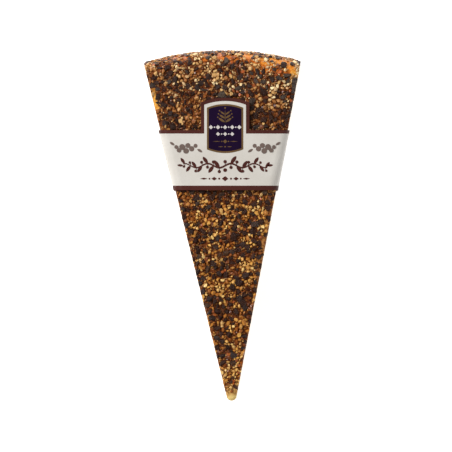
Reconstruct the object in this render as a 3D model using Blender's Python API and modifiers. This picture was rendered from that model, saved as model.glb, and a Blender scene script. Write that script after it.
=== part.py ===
"""Wedge of cheese with a cracked pepper coat, held in a paper sleeve.

The wedge is a slice of a turned wheel, cut through level, so its underside and its two long sides are
bare cheese. Its top and its rim carry the coat. It is modelled with the point where the two knife cuts
would meet at the origin and the rim towards +Y, and then moved so that the middle of its base is the origin.
"""

import math
import random

import bmesh
import bpy
from mathutils import Matrix, Vector

# The wedge, in metres and radians.
APEX_TO_RIM = 0.1254
RIM_RADIUS = 0.095
CUT_ANGLE = math.radians(24.9)
CUT_LEAN = math.radians(1.55)
TIP_RADIUS = 0.0017
CHEESE_HEIGHT = 0.040
SHOULDER_DEPTH = 0.0065
SHOULDER_POWER = 3.4
CUT_EDGE_RADIUS = 0.0011

# The paper sleeve.
PAPER = 0.00035
GAP = 0.0003
SLEEVE_NEAR = 0.0775
SLEEVE_FAR = 0.0978
TAB_FAR = 0.1088
TAB_WIDTH = 0.0164
TAB_CENTRE = -0.0024
TAB_ARCH = 0.0016
TOP_BEND = 0.0034

# The pepper: how far it stands out of the coat, its sizes, and how it is spread.
PEPPER_RISE = 0.0012
PEPPER_LONGEST = 0.0036
PEPPER_SHORTEST = 0.0024
PEPPER_SPACING = 0.00295
PEPPER_COUNT = 390
PEPPER_TRIES = 30000
PEPPER_SEED = 7
TOP_SHARE = 0.8
RIM_SAMPLES = 40

# How finely round forms are divided.
WHEEL_STEPS = 144
PROFILE_STEPS = 12
NOSE_STEPS = 8
TAB_ARCH_CUTS = 9

# Heights and lines that follow from those.
BASE = PAPER + GAP
COAT = BASE + CHEESE_HEIGHT
SLEEVE_TOP = COAT + PEPPER_RISE + GAP + PAPER
LEFT_SLOPE = math.tan(CUT_ANGLE / 2 + CUT_LEAN)
RIGHT_SLOPE = math.tan(CUT_ANGLE / 2 - CUT_LEAN)
APEX_TO_TIP = TIP_RADIUS / math.sin(CUT_ANGLE / 2) - TIP_RADIUS
WHEEL_AXIS = Vector((-0.0023, APEX_TO_RIM - RIM_RADIUS, 0))


def clear_scene():
    for obj in list(bpy.data.objects):
        bpy.data.objects.remove(obj, do_unlink=True)


def new_collection(name):
    collection = bpy.data.collections.new(name)
    bpy.context.scene.collection.children.link(collection)
    return collection


def add_object(name, data, collection):
    obj = bpy.data.objects.new(name, data)
    collection.objects.link(obj)
    return obj


def material(name, colour, roughness):
    made = bpy.data.materials.new(name)
    made.use_nodes = True
    shader = made.node_tree.nodes["Principled BSDF"]
    shader.inputs["Base Color"].default_value = (*colour, 1)
    shader.inputs["Roughness"].default_value = roughness
    shader.inputs["Metallic"].default_value = 0.0
    return made


def as_mesh(obj, name, collection):
    """The object's evaluated shape as a mesh of its own, with the caps of a curve welded on."""
    graph = bpy.context.evaluated_depsgraph_get()
    mesh = bpy.data.meshes.new_from_object(obj.evaluated_get(graph))
    bm = bmesh.new()
    bm.from_mesh(mesh)
    bmesh.ops.remove_doubles(bm, verts=bm.verts, dist=1e-6)
    bm.to_mesh(mesh)
    bm.free()
    made = add_object(name, mesh, collection)
    made.matrix_world = obj.matrix_world.copy()
    bpy.data.objects.remove(obj, do_unlink=True)
    return made


def apply_modifiers(obj):
    """Keeps the object and gives it its evaluated shape."""
    graph = bpy.context.evaluated_depsgraph_get()
    mesh = bpy.data.meshes.new_from_object(obj.evaluated_get(graph))
    obj.modifiers.clear()
    obj.data = mesh


def side_x(y, side, outside=0.0):
    """X of a cut side at distance y from the apex, or of a wall that stands outside it by that much."""
    slope = LEFT_SLOPE if side < 0 else RIGHT_SLOPE
    return side * (y * slope + outside * math.hypot(1, slope))


def rim_profile(share):
    """(radius, height) on the wheel's outline, from the underside at share 0 to the top face at share 1."""
    turn = share * math.pi / 2
    rise = math.sin(turn) ** (2 / SHOULDER_POWER)
    reach = math.cos(turn) ** (2 / SHOULDER_POWER) if share < 1 else 0.0
    return RIM_RADIUS - SHOULDER_DEPTH * (1 - reach), BASE + CHEESE_HEIGHT * rise


def turned_wheel(collection):
    """The wheel's bulged rim and rounded shoulder, turned on its axis, with both flat faces closed."""
    points = [rim_profile(1 - i / PROFILE_STEPS) for i in range(PROFILE_STEPS + 1)]
    links = [(i, i + 1) for i in range(PROFILE_STEPS)]
    mesh = bpy.data.meshes.new("wheel_profile")
    mesh.from_pydata([(radius, 0, height) for radius, height in points], links, [])
    profile = add_object("wheel_profile", mesh, collection)
    profile.location = WHEEL_AXIS
    turn = profile.modifiers.new("turn", "SCREW")
    turn.steps = turn.render_steps = WHEEL_STEPS
    turn.use_merge_vertices = True
    turn.merge_threshold = 0.00001
    bpy.context.view_layer.update()
    wheel = as_mesh(profile, "cheese_wedge", collection)
    bm = bmesh.new()
    bm.from_mesh(wheel.data)
    bmesh.ops.holes_fill(bm, edges=[edge for edge in bm.edges if edge.is_boundary], sides=0)
    bmesh.ops.recalc_face_normals(bm, faces=bm.faces)
    bm.to_mesh(wheel.data)
    bm.free()
    return wheel


def knife_block(collection):
    """What stays between the two knife cuts: a tall block with a round nose, longer than the wheel."""
    lean = Matrix.Rotation(CUT_LEAN, 3, "Z")
    centre = Vector((0, APEX_TO_TIP + TIP_RADIUS, 0))
    turns = [(i / NOSE_STEPS - 0.5) * (math.pi - CUT_ANGLE) for i in range(NOSE_STEPS + 1)]
    nose = [centre + TIP_RADIUS * Vector((math.sin(turn), -math.cos(turn), 0)) for turn in turns]
    past_rim = 1.3 * APEX_TO_RIM
    half_width = past_rim * math.tan(CUT_ANGLE / 2)
    outline = nose + [Vector((half_width, past_rim, 0)), Vector((-half_width, past_rim, 0))]
    curve = bpy.data.curves.new("knife_block", "CURVE")
    curve.dimensions = "2D"
    curve.fill_mode = "BOTH"
    curve.extrude = CHEESE_HEIGHT
    spline = curve.splines.new("POLY")
    spline.points.add(len(outline) - 1)
    for point, corner in zip(spline.points, outline):
        point.co = (*(lean @ corner), 1)
    spline.use_cyclic_u = True
    block = add_object("knife_outline", curve, collection)
    block.location.z = COAT / 2
    bpy.context.view_layer.update()
    block = as_mesh(block, "knife_block", collection)
    block.hide_render = True
    block.display_type = "WIRE"
    return block


def cut_wedge(collection, cutters):
    """The wheel between the knife cuts, with the cut edges pressed round."""
    wedge = turned_wheel(collection)
    cut = wedge.modifiers.new("cut", "BOOLEAN")
    cut.operation = "INTERSECT"
    cut.object = knife_block(cutters)
    round_edges = wedge.modifiers.new("round_edges", "BEVEL")
    round_edges.width = CUT_EDGE_RADIUS
    round_edges.segments = 2
    round_edges.use_clamp_overlap = False
    round_edges.limit_method = "ANGLE"
    round_edges.angle_limit = math.radians(50)
    bpy.context.view_layer.update()
    apply_modifiers(wedge)
    return wedge


def under_sleeve(point, margin):
    """Whether a point of the coat lies under the sleeve or its tab, or nearer to them than the margin."""
    if SLEEVE_NEAR - margin < point.y < SLEEVE_FAR + margin:
        return True
    beside_tab = abs(point.x - TAB_CENTRE) < TAB_WIDTH / 2 + margin
    return beside_tab and SLEEVE_FAR <= point.y < TAB_FAR + margin


def top_point(draw):
    """A point and its normal anywhere on the flat top face of the slice, or None past the shoulder."""
    y = draw.uniform(0, APEX_TO_RIM)
    point = Vector((draw.uniform(-LEFT_SLOPE, RIGHT_SLOPE) * APEX_TO_RIM, y, COAT))
    if (point - WHEEL_AXIS).xy.length > RIM_RADIUS - SHOULDER_DEPTH:
        return None
    return point, Vector((0, 0, 1))


def rim_point(draw):
    """A point and its normal anywhere on the turned rim and shoulder, spread by their true length."""
    outline = [rim_profile(i / RIM_SAMPLES) for i in range(RIM_SAMPLES + 1)]
    lengths = [math.dist(low, high) for low, high in zip(outline, outline[1:])]
    step = draw.choices(range(RIM_SAMPLES), lengths)[0]
    (radius, z), (next_radius, next_z) = outline[step], outline[step + 1]
    turn = CUT_LEAN + draw.uniform(-1, 1) * CUT_ANGLE
    out = Vector((-math.sin(turn), math.cos(turn), 0))
    point = WHEEL_AXIS + out * radius + Vector((0, 0, z))
    if z < BASE + PEPPER_LONGEST / 2:
        return None
    return point, (out * (next_z - z) + Vector((0, 0, radius - next_radius))).normalized()


def coat_points(draw):
    """(point, normal) pairs for the pepper, evenly spread over the coat by a least distance."""
    found = []
    edge = -0.4 * PEPPER_SHORTEST
    beside_sleeve = 0.55 * PEPPER_LONGEST + GAP
    for _ in range(PEPPER_TRIES):
        drawn = top_point(draw) if draw.random() < TOP_SHARE else rim_point(draw)
        if drawn is None:
            continue
        point = drawn[0]
        if not side_x(point.y, -1, edge) < point.x < side_x(point.y, 1, edge):
            continue
        if point.y < APEX_TO_TIP - edge or under_sleeve(point, beside_sleeve):
            continue
        if all((point - other).length > PEPPER_SPACING for other, _ in found):
            found.append(drawn)
        if len(found) == PEPPER_COUNT:
            break
    return found


def pepper_piece(name, point, normal, draw, collection):
    """One piece of a cracked corn: a lump with flat, uneven faces, sunk in the coat by nearly half."""
    size = draw.uniform(PEPPER_SHORTEST, PEPPER_LONGEST)
    rise = PEPPER_RISE * draw.uniform(0.72, 1.0)
    stretch = Matrix.Diagonal((size, size * draw.uniform(0.72, 0.95), 1.8 * rise))
    tumble = Matrix.Rotation(draw.uniform(0, math.pi), 3, "X")
    spin = Matrix.Rotation(draw.uniform(0, 2 * math.pi), 3, "Z")
    lift = normal.to_track_quat("Z", "Y").to_matrix()
    bm = bmesh.new()
    bmesh.ops.create_icosphere(bm, subdivisions=1, radius=0.5)
    for vert in bm.verts:
        dent = Vector([draw.uniform(-0.09, 0.09) for _ in range(3)])
        vert.co = lift @ spin @ stretch @ tumble @ (vert.co + dent)
    top = max(vert.co.dot(normal) for vert in bm.verts)
    bmesh.ops.translate(bm, verts=bm.verts, vec=point + normal * (rise - top))
    mesh = bpy.data.meshes.new(name)
    bm.to_mesh(mesh)
    bm.free()
    return add_object(name, mesh, collection)


def press_pepper(wedge):
    """Joins the larger pieces of cracked pepper to the top and the rim of the wedge."""
    draw = random.Random(PEPPER_SEED)
    pieces = new_collection("pepper")
    for i, (point, normal) in enumerate(coat_points(draw)):
        pepper_piece(f"pepper_{i}", point, normal, draw, pieces)
    join = wedge.modifiers.new("pepper", "BOOLEAN")
    join.operation = "UNION"
    join.operand_type = "COLLECTION"
    join.collection = pieces
    join.solver = "MANIFOLD"
    bpy.context.view_layer.update()
    apply_modifiers(wedge)
    for obj in list(pieces.objects):
        bpy.data.objects.remove(obj, do_unlink=True)
    bpy.data.collections.remove(pieces)


def sleeve_surface():
    """The sleeve's outer skin as an open surface: four walls round the wedge, with the tab on the top one."""
    bm = bmesh.new()
    bmesh.ops.create_cube(bm, size=1)
    bmesh.ops.delete(bm, geom=[face for face in bm.faces if abs(face.normal.y) > 0.5], context="FACES_ONLY")
    for vert in bm.verts:
        side = 1 if vert.co.x > 0 else -1
        vert.co.y = SLEEVE_FAR if vert.co.y > 0 else SLEEVE_NEAR
        vert.co.x = side_x(vert.co.y, side, GAP + PAPER)
        vert.co.z = SLEEVE_TOP if vert.co.z > 0 else 0
    weight = bm.edges.layers.float.new("bevel_weight_edge")
    bottom_share = (CUT_EDGE_RADIUS + GAP + PAPER) / TOP_BEND
    for edge in bm.edges:
        if not edge.is_boundary:
            edge[weight] = 1 if edge.verts[0].co.z > 0 else bottom_share
    tab_sides = [TAB_CENTRE - TAB_WIDTH / 2, TAB_CENTRE + TAB_WIDTH / 2]
    for x in tab_sides:
        top = [face for face in bm.faces if face.normal.z > 0.5]
        around = {element for face in top for element in (face, *face.edges, *face.verts)}
        bmesh.ops.bisect_plane(bm, geom=list(around), plane_co=(x, 0, 0), plane_no=(1, 0, 0))
    root = [
        edge
        for edge in bm.edges
        if edge.is_boundary
        and all(
            vert.co.z > 0 and vert.co.y > SLEEVE_FAR - GAP and abs(vert.co.x - TAB_CENTRE) < TAB_WIDTH / 2 + GAP
            for vert in edge.verts
        )
    ]
    raised = bmesh.ops.extrude_edge_only(bm, edges=root)["geom"]
    bmesh.ops.translate(
        bm,
        verts=[item for item in raised if isinstance(item, bmesh.types.BMVert)],
        vec=(0, TAB_FAR - TAB_ARCH - SLEEVE_FAR, 0),
    )
    end = [
        item
        for item in raised
        if isinstance(item, bmesh.types.BMEdge) and all(vert.co.y > SLEEVE_FAR + GAP for vert in item.verts)
    ]
    bmesh.ops.subdivide_edges(bm, edges=end, cuts=TAB_ARCH_CUTS)
    for vert in bm.verts:
        if vert.co.y > SLEEVE_FAR + GAP:
            across = (vert.co.x - TAB_CENTRE) / (TAB_WIDTH / 2)
            vert.co.y += TAB_ARCH * (1 - across * across)
    bmesh.ops.recalc_face_normals(bm, faces=bm.faces)
    mesh = bpy.data.meshes.new("paper_sleeve")
    bm.to_mesh(mesh)
    bm.free()
    return mesh


def paper_sleeve(collection):
    sleeve = add_object("paper_sleeve", sleeve_surface(), collection)
    fold = sleeve.modifiers.new("fold", "BEVEL")
    fold.limit_method = "WEIGHT"
    fold.width = TOP_BEND
    fold.segments = 6
    thickness = sleeve.modifiers.new("thickness", "SOLIDIFY")
    thickness.thickness = PAPER
    thickness.offset = -1
    return sleeve


def stand_on_origin(objects):
    """Hangs the objects on an empty that puts the middle of the whole thing's base at the origin."""
    bpy.context.view_layer.update()
    graph = bpy.context.evaluated_depsgraph_get()
    corners = []
    for obj in objects:
        shape = obj.evaluated_get(graph)
        mesh = shape.to_mesh()
        corners += [shape.matrix_world @ vert.co for vert in mesh.vertices]
        shape.to_mesh_clear()
    low = Vector([min(corner[i] for corner in corners) for i in range(3)])
    high = Vector([max(corner[i] for corner in corners) for i in range(3)])
    frame = add_object("wedge_frame", None, objects[0].users_collection[0])
    frame.location = (-(low.x + high.x) / 2, -(low.y + high.y) / 2, -low.z)
    for obj in objects:
        obj.parent = frame


def main():
    clear_scene()
    parts = new_collection("cheese_wedge_in_sleeve")
    cutters = new_collection("cutters")
    wedge = cut_wedge(parts, cutters)
    press_pepper(wedge)
    wedge.data.materials.clear()
    wedge.data.materials.append(material("pepper_coat", (0.13, 0.06, 0.03), 0.45))
    sleeve = paper_sleeve(parts)
    sleeve.data.materials.append(material("sleeve_paper", (0.64, 0.60, 0.54), 0.55))
    stand_on_origin([wedge, sleeve])


main()
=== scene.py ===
import math
import random

import bmesh
import bpy
from mathutils import Matrix, Vector, noise


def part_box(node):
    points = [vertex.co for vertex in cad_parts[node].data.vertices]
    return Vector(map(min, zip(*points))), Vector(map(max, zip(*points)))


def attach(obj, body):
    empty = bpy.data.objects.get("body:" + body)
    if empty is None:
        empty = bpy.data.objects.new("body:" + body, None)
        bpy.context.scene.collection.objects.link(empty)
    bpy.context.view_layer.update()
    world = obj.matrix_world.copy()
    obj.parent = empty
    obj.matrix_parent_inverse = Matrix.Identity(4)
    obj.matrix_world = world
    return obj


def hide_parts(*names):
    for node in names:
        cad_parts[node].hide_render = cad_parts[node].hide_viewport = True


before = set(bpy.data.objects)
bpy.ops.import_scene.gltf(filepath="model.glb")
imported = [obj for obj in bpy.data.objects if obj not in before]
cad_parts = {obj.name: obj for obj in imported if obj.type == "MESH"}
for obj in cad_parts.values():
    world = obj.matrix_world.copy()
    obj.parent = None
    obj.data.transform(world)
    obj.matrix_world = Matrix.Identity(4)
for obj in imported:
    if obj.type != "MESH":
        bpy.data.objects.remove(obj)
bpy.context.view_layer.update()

# Cheese: a slim portion of a half-height wheel, a drum with a round shoulder, parted by two straight knife
# strokes, with a blunt nose where they meet. The paste is smooth and bare on the cut sides and below, and
# carries a cooked pepper glaze on its top and rim.

CUT_ANGLE = math.radians(24.9)
CUT_LEAN = math.radians(1.55)
LEFT_SLOPE = math.tan(CUT_ANGLE / 2 + CUT_LEAN)
RIGHT_SLOPE = math.tan(CUT_ANGLE / 2 - CUT_LEAN)
APEX_TO_RIM = 0.1254
RIM_RADIUS = 0.095
TIP_RADIUS = 0.0017
AXIS_OFFSET = -0.0023
NOSE_FACETS = 9
WHEEL_CORNERS = 360
CHEESE_BASE = 0.00065
CHEESE_HEIGHT = 0.040
COAT_TOP = CHEESE_BASE + CHEESE_HEIGHT
SHOULDER_DEPTH = 0.0065
SHOULDER_POWER = 3.4
SHOULDER_STEPS = 16
MERGE_REACH = 0.00002
CUT_EDGE_RADIUS = 0.0011
SIDE_FACING = 0.72
NOSE_FACING = 0.4
BELOW_FACING = -0.3
SLEEVE_NEAR = 0.0775
SLEEVE_FAR = 0.0978
WALL_CLEARANCE = 0.00065

sleeve_low, sleeve_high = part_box("paper_sleeve")
apex = Vector((
    sleeve_low.x + SLEEVE_FAR * LEFT_SLOPE + WALL_CLEARANCE * math.hypot(1, LEFT_SLOPE),
    sleeve_low.y - SLEEVE_NEAR,
    0,
))
tip_y = apex.y + TIP_RADIUS / math.sin(CUT_ANGLE / 2) - TIP_RADIUS
wheel_axis = apex + Vector((AXIS_OFFSET, APEX_TO_RIM - RIM_RADIUS, 0))
middle_line = Vector((-math.sin(CUT_LEAN), math.cos(CUT_LEAN), 0))
left_cut = Vector((-1, -LEFT_SLOPE, 0)).normalized()
right_cut = Vector((1, -RIGHT_SLOPE, 0)).normalized()


def pick(obj, kind, wanted):
    """In edit mode, selects only the verts, edges or faces of a piece that wanted() accepts."""
    bpy.ops.mesh.select_mode(type=kind)
    bpy.ops.mesh.select_all(action="DESELECT")
    mesh = bmesh.from_edit_mesh(obj.data)
    for item in {"VERT": mesh.verts, "EDGE": mesh.edges, "FACE": mesh.faces}[kind]:
        if wanted(item):
            item.select_set(True)
    bmesh.update_edit_mesh(obj.data)


def start_piece(name):
    """Names the primitive just added, puts its place into its mesh and opens it in edit mode."""
    obj = bpy.context.object
    obj.name = obj.data.name = name
    bpy.ops.object.transform_apply(location=True, rotation=True, scale=True)
    bpy.ops.object.mode_set(mode="EDIT")
    return obj


def apply_all(obj):
    """Applies a piece's modifiers in their order."""
    for modifier in list(obj.modifiers):
        bpy.ops.object.modifier_apply(modifier=modifier.name)


def stands_for(obj, node):
    """Lets a finished piece ride on the part in place of a CAD node."""
    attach(obj, "root")
    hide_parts(node)


bpy.ops.object.select_all(action="DESELECT")
bpy.ops.mesh.primitive_cylinder_add(
    vertices=WHEEL_CORNERS,
    radius=RIM_RADIUS,
    depth=SHOULDER_DEPTH,
    location=wheel_axis + Vector((0, 0, CHEESE_BASE + SHOULDER_DEPTH / 2)),
)
cheese = start_piece("cheese_body")
pick(cheese, "EDGE", lambda edge: all(vert.co.z > CHEESE_BASE + SHOULDER_DEPTH / 2 for vert in edge.verts))
bpy.ops.mesh.bevel(
    offset=SHOULDER_DEPTH, segments=SHOULDER_STEPS, profile=2 ** (-2 / SHOULDER_POWER), affect="EDGES"
)
bpy.ops.mesh.select_all(action="SELECT")
bpy.ops.mesh.remove_doubles(threshold=MERGE_REACH)
bpy.ops.transform.resize(
    value=(1, 1, CHEESE_HEIGHT / SHOULDER_DEPTH), center_override=(0, 0, CHEESE_BASE)
)
for cut in (left_cut, right_cut):
    bpy.ops.mesh.select_all(action="SELECT")
    bpy.ops.mesh.bisect(plane_co=apex, plane_no=cut, use_fill=True, clear_outer=True)
nose_centre = apex + middle_line * TIP_RADIUS / math.sin(CUT_ANGLE / 2)
for i in range(NOSE_FACETS):
    turn = CUT_LEAN + (math.pi - CUT_ANGLE) * ((i + 0.5) / NOSE_FACETS - 0.5)
    facet = Vector((math.sin(turn), -math.cos(turn), 0))
    bpy.ops.mesh.select_all(action="SELECT")
    bpy.ops.mesh.bisect(
        plane_co=nose_centre + facet * TIP_RADIUS, plane_no=facet, use_fill=True, clear_outer=True
    )
bpy.ops.mesh.select_all(action="SELECT")
bpy.ops.mesh.normals_make_consistent(inside=False)
bpy.ops.object.mode_set(mode="OBJECT")
round_edges = cheese.modifiers.new("round_edges", "BEVEL")
round_edges.width = CUT_EDGE_RADIUS
round_edges.segments = 3
round_edges.use_clamp_overlap = False
round_edges.limit_method = "ANGLE"
round_edges.angle_limit = math.radians(50)
apply_all(cheese)


def press_inside_cuts(obj, allowance):
    """Moves what stands outside the two cut sides, by more than the allowance, back onto them."""
    for vert in obj.data.vertices:
        for cut in (left_cut, right_cut):
            past = (vert.co - apex).dot(cut) - allowance
            if past > 0:
                vert.co -= cut * past


press_inside_cuts(cheese, 0)
bpy.ops.object.shade_smooth_by_angle(angle=math.radians(35))


def new_finish(name, **constants):
    """A material with its constants set on the Principled shader's own sockets."""
    made = bpy.data.materials.new(name)
    made.use_nodes = True
    shader = made.node_tree.nodes["Principled BSDF"]
    for socket, value in constants.items():
        shader.inputs[socket.replace("_", " ")].default_value = value
    return made, made.node_tree, shader.inputs


def add_node(tree, kind, inputs, **settings):
    """Adds a node, sets it up, and gives each named input its value or its link."""
    node = tree.nodes.new("ShaderNode" + kind)
    for setting, value in settings.items():
        setattr(node, setting, value)
    for socket, value in inputs.items():
        if isinstance(value, bpy.types.NodeSocket):
            tree.links.new(value, node.inputs[socket])
        else:
            node.inputs[socket].default_value = value
    return node


def ramp(tree, factor, stops):
    """The colour output of a ramp with (position, colour) stops."""
    node = add_node(tree, "ValToRGB", {"Fac": factor})
    points = node.color_ramp.elements
    while len(points) < len(stops):
        points.new(0.5)
    for point, (position, colour) in zip(points, stops):
        point.position = position
        point.color = (*colour, 1)
    return node.outputs["Color"]


def band(tree, value, start, end):
    """A smooth mask that goes from 0 at start to 1 at end."""
    inputs = {"Value": value, "From Min": start, "From Max": end}
    return add_node(tree, "MapRange", inputs, interpolation_type="SMOOTHSTEP").outputs["Result"]


def maths(tree, operation, first, second=0.0):
    """The result of one Math node."""
    return add_node(tree, "Math", {0: first, 1: second}, operation=operation).outputs[0]


def blend(tree, mask, under, over, kind="MIX"):
    """Lays one colour over another by a mask."""
    inputs = {"Factor": mask, 6: under, 7: over}
    return add_node(tree, "Mix", inputs, data_type="RGBA", blend_type=kind).outputs[2]


def effect_group(name, takes, gives):
    """An empty node group with its float or vector inputs and its outputs."""
    group = bpy.data.node_groups.new(name, "ShaderNodeTree")
    for socket, value in takes.items():
        kind = "NodeSocketVector" if value is None else "NodeSocketFloat"
        made = group.interface.new_socket(socket, in_out="INPUT", socket_type=kind)
        if value is not None:
            made.default_value = value
    for socket, kind in gives.items():
        group.interface.new_socket(socket, in_out="OUTPUT", socket_type="NodeSocket" + kind)
    inside = group.nodes.new("NodeGroupInput")
    return group, inside.outputs, group.nodes.new("NodeGroupOutput").inputs


surface_grain, grain_in, grain_out = effect_group(
    "surface_grain",
    {"Vector": None, "Scale": 1000.0, "Depth": 0.0001, "Smooth": 0.3, "Rough": 0.6},
    {"Mask": "Float", "Roughness": "Float", "Normal": "Vector"},
)
grain_noise = add_node(
    surface_grain,
    "TexNoise",
    {"Vector": grain_in["Vector"], "Scale": grain_in["Scale"], "Detail": 4.0, "Roughness": 0.6},
)
grain_mask = band(surface_grain, grain_noise.outputs["Fac"], 0.35, 0.65)
grain_rough = add_node(
    surface_grain,
    "MapRange",
    {"Value": grain_mask, "To Min": grain_in["Smooth"], "To Max": grain_in["Rough"]},
)
grain_bump = add_node(
    surface_grain, "Bump", {"Height": grain_noise.outputs["Fac"], "Distance": grain_in["Depth"]}
)
surface_grain.links.new(grain_mask, grain_out["Mask"])
surface_grain.links.new(grain_rough.outputs["Result"], grain_out["Roughness"])
surface_grain.links.new(grain_bump.outputs["Normal"], grain_out["Normal"])


def grained(tree, shader, scale, depth, smooth, rough):
    """Gives a material the shared surface grain, and returns its mask and the piece's coordinates."""
    place = add_node(tree, "TexCoord", {}).outputs["Object"]
    inputs = {"Vector": place, "Scale": scale, "Depth": depth, "Smooth": smooth, "Rough": rough}
    node = tree.nodes.new("ShaderNodeGroup")
    node.node_tree = surface_grain
    for socket, value in inputs.items():
        if isinstance(value, bpy.types.NodeSocket):
            tree.links.new(value, node.inputs[socket])
        else:
            node.inputs[socket].default_value = value
    tree.links.new(node.outputs["Roughness"], shader["Roughness"])
    tree.links.new(node.outputs["Normal"], shader["Normal"])
    return node.outputs["Mask"], place


def beyond(tree, place, point, direction):
    """How far a place lies beyond a point along a direction, in metres."""
    inputs = {0: place, 1: tuple(point)}
    offset = add_node(tree, "VectorMath", inputs, operation="SUBTRACT").outputs["Vector"]
    inputs = {0: offset, 1: tuple(direction)}
    return add_node(tree, "VectorMath", inputs, operation="DOT_PRODUCT").outputs["Value"]


def from_wheel_axis(tree, place):
    """How far a place lies from the axis of the wheel, in metres."""
    inputs = {0: place, 1: tuple(wheel_axis)}
    offset = add_node(tree, "VectorMath", inputs, operation="SUBTRACT").outputs["Vector"]
    inputs = {0: offset, 1: (1, 1, 0)}
    flat = add_node(tree, "VectorMath", inputs, operation="MULTIPLY").outputs["Vector"]
    return add_node(tree, "VectorMath", {0: flat}, operation="LENGTH").outputs["Value"]


NOSE_FADE = (0.001, 0.005)
SOAKED_PASTE = (0.007, 0.0005)
GLAZE_IN_SECTION = (0.0019, 0.0010)
EYES_PER_METRE = 210.0
EYE_EDGE = (0.17, 0.11)
RARE_EYES = (0.86, 0.88)

paste, tree, shader = new_finish(
    "cheese_paste", Subsurface_Weight=0.12, Subsurface_Scale=0.004, Specular_IOR_Level=0.2
)
mask, place = grained(tree, shader, 900.0, 0.00006, 0.38, 0.52)
cloud = add_node(tree, "TexNoise", {"Vector": place, "Scale": 70.0, "Detail": 3.0})
colour = ramp(tree, cloud.outputs["Fac"], [(0.3, (0.64, 0.45, 0.175)), (0.7, (0.72, 0.53, 0.225))])
rim_depth = maths(tree, "SUBTRACT", RIM_RADIUS, from_wheel_axis(tree, place))
top_depth = maths(tree, "MULTIPLY", beyond(tree, place, (0, 0, COAT_TOP), (0, 0, 1)), -1.0)
depth = maths(tree, "MINIMUM", rim_depth, top_depth)
from_nose = band(tree, beyond(tree, place, (0, tip_y, 0), (0, 1, 0)), *NOSE_FADE)
soaked = maths(tree, "MULTIPLY", band(tree, depth, *SOAKED_PASTE), from_nose)
colour = blend(tree, soaked, colour, (0.66, 0.38, 0.11, 1))
glazed = maths(tree, "MULTIPLY", band(tree, depth, *GLAZE_IN_SECTION), from_nose)
colour = blend(tree, glazed, colour, (0.20, 0.065, 0.014, 1))
# Eyes: small holes in the paste, drawn only as darker spots, which are painted shade for their hollows.
eyes = add_node(tree, "TexVoronoi", {"Vector": place, "Scale": EYES_PER_METRE, "Randomness": 1.0})
painted_eye_shade = band(tree, eyes.outputs["Distance"], *EYE_EDGE)
rare = add_node(tree, "SeparateColor", {"Color": eyes.outputs["Color"]}).outputs["Red"]
painted_eye_shade = maths(tree, "MULTIPLY", painted_eye_shade, band(tree, rare, *RARE_EYES))
colour = blend(tree, painted_eye_shade, colour, (0.55, 0.36, 0.13, 1))
tree.links.new(colour, shader["Base Color"])

SPECKS_PER_METRE = 1500.0
SPECK_EDGE = (0.45, 0.3)
PALE_SPECKS = (0.7, 0.72)
BORDER_WANDER = 0.010
TO_RIGHT = 0.12
DEEP_ORANGE_FROM = (0.0895, 0.0912)
ORANGE_FROM = (0.0922, 0.0943)
BROWN_BELOW = (0.037, 0.016)
BROWN_WANDER = 4.0
BROWN_SHARE = 0.8
PAST_SLEEVE = 0.004
LEFT_STRIP = (-0.0014, -0.0003)
CORNER_FROM = (0.0850, 0.0885)
CORNER_STRIP = (-0.0020, -0.0004)
TOFFEE_STRIP = (-0.0024, -0.0012)
TOFFEE_START = (0.042, 0.052)
TAN_NOSE = (0.0062, 0.0042)
BARE_TIP = (0.0019, 0.0003)

glaze, tree, shader = new_finish("pepper_glaze", Specular_IOR_Level=0.07)
mask, place = grained(tree, shader, 1300.0, 0.0003, 0.22, 0.5)
colour = ramp(tree, mask, [(0.0, (0.064, 0.013, 0.004)), (1.0, (0.215, 0.056, 0.010))])
crumbs = add_node(tree, "TexVoronoi", {"Vector": place, "Scale": SPECKS_PER_METRE})
kind = add_node(tree, "SeparateColor", {"Color": crumbs.outputs["Color"]}).outputs["Green"]
speck = band(tree, crumbs.outputs["Distance"], *SPECK_EDGE)
pale = maths(tree, "MULTIPLY", speck, band(tree, kind, *PALE_SPECKS))
colour = blend(tree, pale, colour, (0.36, 0.18, 0.055, 1))
cloud = add_node(tree, "TexNoise", {"Vector": place, "Scale": 190.0, "Detail": 2.0}).outputs["Fac"]
shift = maths(tree, "MULTIPLY", maths(tree, "SUBTRACT", cloud, 0.5), BORDER_WANDER)
to_right = maths(tree, "MULTIPLY", beyond(tree, place, apex, (1, 0, 0)), TO_RIGHT)
rim_reach = maths(tree, "ADD", from_wheel_axis(tree, place), maths(tree, "ADD", shift, to_right))
deep_orange = ramp(tree, mask, [(0.0, (0.45, 0.092, 0.010)), (1.0, (0.70, 0.21, 0.026))])
orange = ramp(tree, mask, [(0.0, (0.74, 0.21, 0.018)), (1.0, (0.88, 0.35, 0.050))])
colour = blend(tree, band(tree, rim_reach, *DEEP_ORANGE_FROM), colour, deep_orange)
colour = blend(tree, band(tree, rim_reach, *ORANGE_FROM), colour, orange)
height = beyond(tree, place, (0, 0, 0), (0, 0, 1))
low_on_rim = maths(tree, "ADD", height, maths(tree, "MULTIPLY", shift, BROWN_WANDER))
browned = maths(tree, "MULTIPLY", band(tree, low_on_rim, *BROWN_BELOW), BROWN_SHARE)
colour = blend(tree, browned, colour, (0.46, 0.155, 0.030, 1))
along = beyond(tree, place, apex, (0, 1, 0))
past_sleeve = band(tree, along, SLEEVE_FAR - PAST_SLEEVE, SLEEVE_FAR)
left_reach = maths(tree, "ADD", beyond(tree, place, apex, left_cut), shift)
right_reach = maths(tree, "ADD", beyond(tree, place, apex, right_cut), shift)
left_edge = maths(tree, "MULTIPLY", band(tree, left_reach, *LEFT_STRIP), past_sleeve)
corner = band(tree, rim_reach, *CORNER_FROM)
right_corner = maths(tree, "MULTIPLY", band(tree, right_reach, *CORNER_STRIP), corner)
golden = ramp(tree, mask, [(0.0, (0.64, 0.25, 0.030)), (1.0, (0.88, 0.46, 0.085))])
colour = blend(tree, maths(tree, "MAXIMUM", left_edge, right_corner), colour, golden)
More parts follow.
